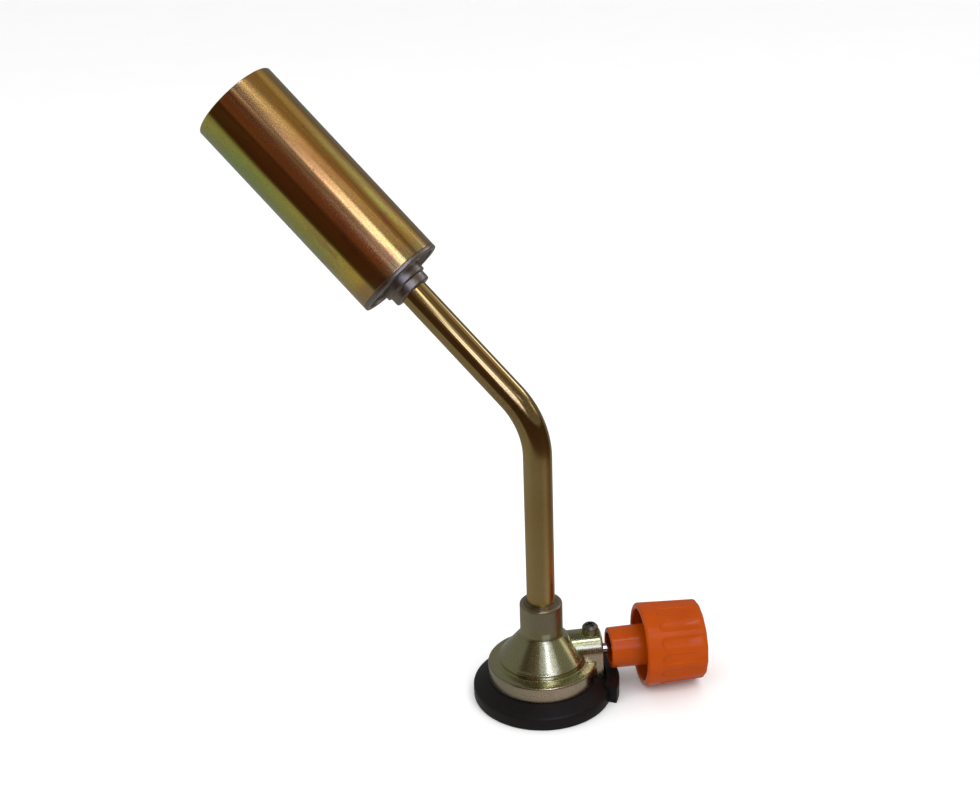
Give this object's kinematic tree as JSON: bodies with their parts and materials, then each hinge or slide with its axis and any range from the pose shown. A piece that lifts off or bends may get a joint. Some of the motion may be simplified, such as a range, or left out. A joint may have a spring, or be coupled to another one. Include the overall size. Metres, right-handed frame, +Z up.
{
  "type": "propane torch",
  "caption": "Hand blow torch for a bayonet gas cartridge: knurled valve knob, cast valve body on a lock ring, bent delivery tube and a cylindrical burner.",
  "frame": {"origin": "centre of the lock ring's flat underside", "axes": "+Z up along the straight leg of the delivery tube, +X along the valve spindle towards the knob; the burner leans away from the knob"},
  "size_m": [0.1293, 0.0784, 0.1769],
  "materials": {
    "ring_plastic": "black satin moulding",
    "plain_steel": "bright zinc plate",
    "zinc_casting": "cast grain under yellow passivation",
    "turned_brass": "turned",
    "seal_rubber": "moulded",
    "sintered_bronze": "sintered",
    "bright_steel": "ground",
    "dark_steel": "dark plated",
    "knob_plastic": "semi gloss moulding",
    "gold_tube": "polished steel under yellow passivation",
    "solder": "brazed joint",
    "grey_casting": "plain casting",
    "iridescent_steel": "yellow chromate, iridescent"
  },
  "bodies": {
    "torch": {"lock_ring": "ring_plastic", "bayonet_plate": "plain_steel", "plate_screws": "plain_steel", "valve_body": "zinc_casting", "inlet_nozzle": "turned_brass", "inlet_seal": "seal_rubber", "inlet_filter": "sintered_bronze", "valve_seat": "turned_brass", "gland_bush": "turned_brass", "gland_screw": "dark_steel", "delivery_tube": "gold_tube", "tube_solder_ring": "solder", "burner_base": "grey_casting", "gas_jet": "turned_brass", "jet_washer": "turned_brass", "jet_gauze": "plain_steel", "mixing_tube": "plain_steel", "flame_holder": "plain_steel", "flame_tube": "iridescent_steel"},
    "seals": {"spindle_o_rings": "seal_rubber"},
    "valve_knob": {"spindle": "bright_steel", "knob": "knob_plastic"}
  },
  "joints": [
    {"name": "spindle_travel", "type": "slide", "parent": "torch", "child": "seals", "axis": [1, 0, 0], "range_m": [0, 0.0015]},
    {"name": "knob_turn", "type": "hinge", "parent": "seals", "child": "valve_knob", "pos_m": [0.0195, 0, 0.0122], "axis": [1, 0, 0], "range_deg": [0, 540]}
  ],
  "couplings": [
    {"joint": "spindle_travel", "follows": "knob_turn", "m_per_rad": 0.00015915}
  ]
}
